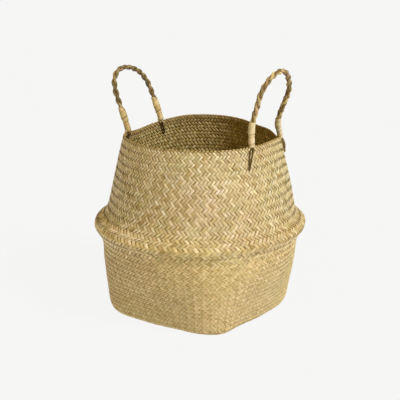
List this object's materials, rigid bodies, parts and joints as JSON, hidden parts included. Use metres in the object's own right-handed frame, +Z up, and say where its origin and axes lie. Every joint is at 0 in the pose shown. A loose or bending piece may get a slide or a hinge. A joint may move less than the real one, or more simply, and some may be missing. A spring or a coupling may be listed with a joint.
{
  "type": "belly basket",
  "caption": "Plaited seagrass basket with a folded-out belly, a rounded-square base, a mouth that pushes down into it, and plaited rope loop handles at the rim.",
  "frame": {"origin": "centre of the flat base, on the surface that the basket stands on", "axes": "+Z up, out of the mouth. +X is towards the taller handle and -X towards the other one. The base's corners lie between the X and Y axes"},
  "size_m": [0.3506, 0.3506, 0.4217],
  "materials": {
    "seagrass": "satin",
    "seagrass_lower": "satin",
    "seagrass_base": "matte",
    "rim_straw": "satin",
    "rope_seagrass": "matte",
    "collar_straw": "satin",
    "tie_cord": "matte"
  },
  "bodies": {
    "standing_basket": {"woven_base": "seagrass_base", "lower_wall": "seagrass_lower", "belly_underside": "seagrass_lower", "belly_shoulder": "seagrass"},
    "band_low": {"fold_band_lower": "seagrass"},
    "band_mid": {"fold_band_middle": "seagrass"},
    "band_high": {"fold_band_upper": "seagrass"},
    "mouth": {"upper_wall": "seagrass", "rim_border": "rim_straw", "left_front_tie": "tie_cord", "left_back_tie": "tie_cord", "right_front_tie": "tie_cord", "right_back_tie": "tie_cord"},
    "left_handle": {"left_handle_strand_a": "rope_seagrass", "left_handle_strand_b": "rope_seagrass", "left_handle_strand_c": "rope_seagrass", "left_front_collar": "collar_straw", "left_back_collar": "collar_straw"},
    "right_handle": {"right_handle_strand_a": "rope_seagrass", "right_handle_strand_b": "rope_seagrass", "right_handle_strand_c": "rope_seagrass", "right_front_collar": "collar_straw", "right_back_collar": "collar_straw"}
  },
  "joints": [
    {"name": "mouth_push", "type": "slide", "parent": "standing_basket", "child": "mouth", "axis": [0, 0, 1], "range_m": [-0.122, 0]},
    {"name": "band_low_slide", "type": "slide", "parent": "standing_basket", "child": "band_low", "axis": [0, 0, 1], "range_m": [-0.0204, 0]},
    {"name": "band_mid_slide", "type": "slide", "parent": "standing_basket", "child": "band_mid", "axis": [0, 0, 1], "range_m": [-0.0611, 0]},
    {"name": "band_high_slide", "type": "slide", "parent": "standing_basket", "child": "band_high", "axis": [0, 0, 1], "range_m": [-0.1018, 0]},
    {"name": "left_handle_hinge", "type": "hinge", "parent": "mouth", "child": "left_handle", "pos_m": [-0.11831, 0.0033, 0.30377], "axis": [-0.0279, -0.9993, -0.0246], "range_deg": [-85, 60]},
    {"name": "right_handle_hinge", "type": "hinge", "parent": "mouth", "child": "right_handle", "pos_m": [0.11286, 0.01266, 0.30587], "axis": [-0.111, 0.9899, -0.0877], "range_deg": [-85, 60]}
  ],
  "couplings": [
    {"joint": "band_low_slide", "follows": "mouth_push", "ratio": 0.16667},
    {"joint": "band_mid_slide", "follows": "mouth_push", "ratio": 0.5},
    {"joint": "band_high_slide", "follows": "mouth_push", "ratio": 0.83333}
  ]
}
